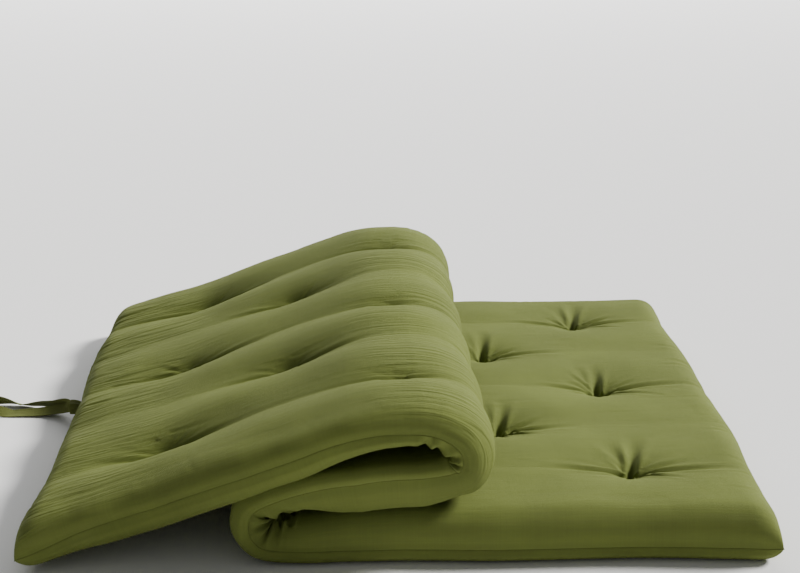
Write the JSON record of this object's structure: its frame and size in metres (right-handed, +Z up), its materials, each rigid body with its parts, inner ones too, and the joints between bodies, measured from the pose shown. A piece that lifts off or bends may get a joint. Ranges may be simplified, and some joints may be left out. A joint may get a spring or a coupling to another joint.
{
  "type": "futon mattress",
  "caption": "Tufted floor futon mattress folded loosely into a Z: thick pad with soft edges and a tie strap at one end, sections that open out flat.",
  "frame": {"origin": "on the floor, under the middle of the folded mattress without its strap", "axes": "+X along the pad towards the free end of the lower section, +Y across its width, +Z up; -X is the end with the tie strap"},
  "size_m": [1.4973, 0.99, 0.2832],
  "materials": {
    "cover_fabric": "matt brushed microfibre, fine plain weave, soft sheen",
    "seam_fabric": "matt brushed microfibre, sewn edge",
    "strap_fabric": "matt folded and stitched microfibre tape",
    "thread": "matt twisted polyester thread",
    "fibre_fill": "matt fluffy polyester fibre",
    "foam_core": "matt open-cell foam"
  },
  "bodies": {
    "lower": {"top_panel_lower": "cover_fabric", "bottom_panel_lower": "cover_fabric", "core_lower": "foam_core", "top_batting_lower": "fibre_fill", "bottom_batting_lower": "fibre_fill", "edge_seam_lower": "seam_fabric", "ties_lower": "thread"},
    "left_fold_a": {"top_panel_left_fold_a": "cover_fabric", "bottom_panel_left_fold_a": "cover_fabric", "fill_left_fold_a": "fibre_fill", "ties_left_fold": "thread"},
    "left_fold_b": {"top_panel_left_fold_b": "cover_fabric", "bottom_panel_left_fold_b": "cover_fabric", "fill_left_fold_b": "fibre_fill"},
    "left_fold_c": {"top_panel_left_fold_c": "cover_fabric", "bottom_panel_left_fold_c": "cover_fabric", "fill_left_fold_c": "fibre_fill"},
    "rise": {"top_panel_rise": "cover_fabric", "bottom_panel_rise": "cover_fabric", "fill_rise": "fibre_fill", "edge_seam_rise": "seam_fabric", "ties_rise": "thread"},
    "middle": {"top_panel_middle": "cover_fabric", "bottom_panel_middle": "cover_fabric", "core_middle": "foam_core", "top_batting_middle": "fibre_fill", "bottom_batting_middle": "fibre_fill", "edge_seam_middle": "seam_fabric"},
    "right_fold_a": {"top_panel_right_fold_a": "cover_fabric", "bottom_panel_right_fold_a": "cover_fabric", "fill_right_fold_a": "fibre_fill", "ties_right_fold": "thread"},
    "right_fold_b": {"top_panel_right_fold_b": "cover_fabric", "bottom_panel_right_fold_b": "cover_fabric", "fill_right_fold_b": "fibre_fill"},
    "right_fold_c": {"top_panel_right_fold_c": "cover_fabric", "bottom_panel_right_fold_c": "cover_fabric", "fill_right_fold_c": "fibre_fill"},
    "right_fold_d": {"top_panel_right_fold_d": "cover_fabric", "bottom_panel_right_fold_d": "cover_fabric", "fill_right_fold_d": "fibre_fill"},
    "crest": {"top_panel_crest": "cover_fabric", "bottom_panel_crest": "cover_fabric", "fill_crest": "fibre_fill", "edge_seam_crest": "seam_fabric", "ties_crest": "thread"},
    "upper": {"top_panel_upper": "cover_fabric", "bottom_panel_upper": "cover_fabric", "core_upper": "foam_core", "top_batting_upper": "fibre_fill", "bottom_batting_upper": "fibre_fill", "edge_seam_upper": "seam_fabric", "ties_upper": "thread"},
    "strap": {"strap_bar_tack": "thread", "strap_tail_back": "strap_fabric", "strap_tail_front": "strap_fabric", "strap_roll_back": "strap_fabric", "strap_roll_front": "strap_fabric"}
  },
  "joints": [
    {"name": "unfold", "type": "hinge", "parent": "lower", "child": "left_fold_a", "pos_m": [-0.20038, 0, 0.021], "axis": [0, -1, 0], "range_deg": [0, 41]},
    {"name": "left_fold_line_2", "type": "hinge", "parent": "left_fold_a", "child": "left_fold_b", "pos_m": [-0.22679, 0, 0.04396], "axis": [0, -1, 0], "range_deg": [0, 41]},
    {"name": "left_fold_line_3", "type": "hinge", "parent": "left_fold_b", "child": "left_fold_c", "pos_m": [-0.23166, 0, 0.07862], "axis": [0, -1, 0], "range_deg": [0, 41]},
    {"name": "left_fold_line_4", "type": "hinge", "parent": "left_fold_c", "child": "rise", "pos_m": [-0.2126, 0, 0.10798], "axis": [0, -1, 0], "range_deg": [0, 41]},
    {"name": "rise_line", "type": "hinge", "parent": "rise", "child": "middle", "pos_m": [-0.0671, 0, 0.14658], "axis": [0, -1, 0], "range_deg": [0, 14]},
    {"name": "right_fold_line_1", "type": "hinge", "parent": "middle", "child": "right_fold_a", "pos_m": [0.07928, 0, 0.12367], "axis": [0, 1, 0], "range_deg": [0, 44]},
    {"name": "right_fold_line_2", "type": "hinge", "parent": "right_fold_a", "child": "right_fold_b", "pos_m": [0.11054, 0, 0.15604], "axis": [0, 1, 0], "range_deg": [0, 48]},
    {"name": "right_fold_line_3", "type": "hinge", "parent": "right_fold_b", "child": "right_fold_c", "pos_m": [0.1074, 0, 0.20093], "axis": [0, 1, 0], "range_deg": [0, 42]},
    {"name": "right_fold_line_4", "type": "hinge", "parent": "right_fold_c", "child": "right_fold_d", "pos_m": [0.07005, 0, 0.23422], "axis": [0, 1, 0], "range_deg": [0, 28]},
    {"name": "right_fold_line_5", "type": "hinge", "parent": "right_fold_d", "child": "crest", "pos_m": [0.02033, 0, 0.24224], "axis": [0, 1, 0], "range_deg": [0, 20]},
    {"name": "crest_line", "type": "hinge", "parent": "crest", "child": "upper", "pos_m": [-0.08314, 0, 0.23099], "axis": [0, 1, 0], "range_deg": [0, 17]},
    {"name": "strap_swing", "type": "hinge", "parent": "upper", "child": "strap", "pos_m": [-0.58236, 0, 0.02329], "axis": [0, -1, 0], "range_deg": [0, 21]}
  ],
  "couplings": [
    {"joint": "left_fold_line_2", "follows": "unfold", "ratio": 1},
    {"joint": "left_fold_line_3", "follows": "unfold", "ratio": 1},
    {"joint": "left_fold_line_4", "follows": "unfold", "ratio": 1},
    {"joint": "rise_line", "follows": "unfold", "ratio": 0.34146},
    {"joint": "right_fold_line_1", "follows": "unfold", "ratio": 1.0732},
    {"joint": "right_fold_line_2", "follows": "unfold", "ratio": 1.1707},
    {"joint": "right_fold_line_3", "follows": "unfold", "ratio": 1.0244},
    {"joint": "right_fold_line_4", "follows": "unfold", "ratio": 0.68293},
    {"joint": "right_fold_line_5", "follows": "unfold", "ratio": 0.4878},
    {"joint": "crest_line", "follows": "unfold", "ratio": 0.41463},
    {"joint": "strap_swing", "follows": "unfold", "ratio": 0.5122}
  ]
}
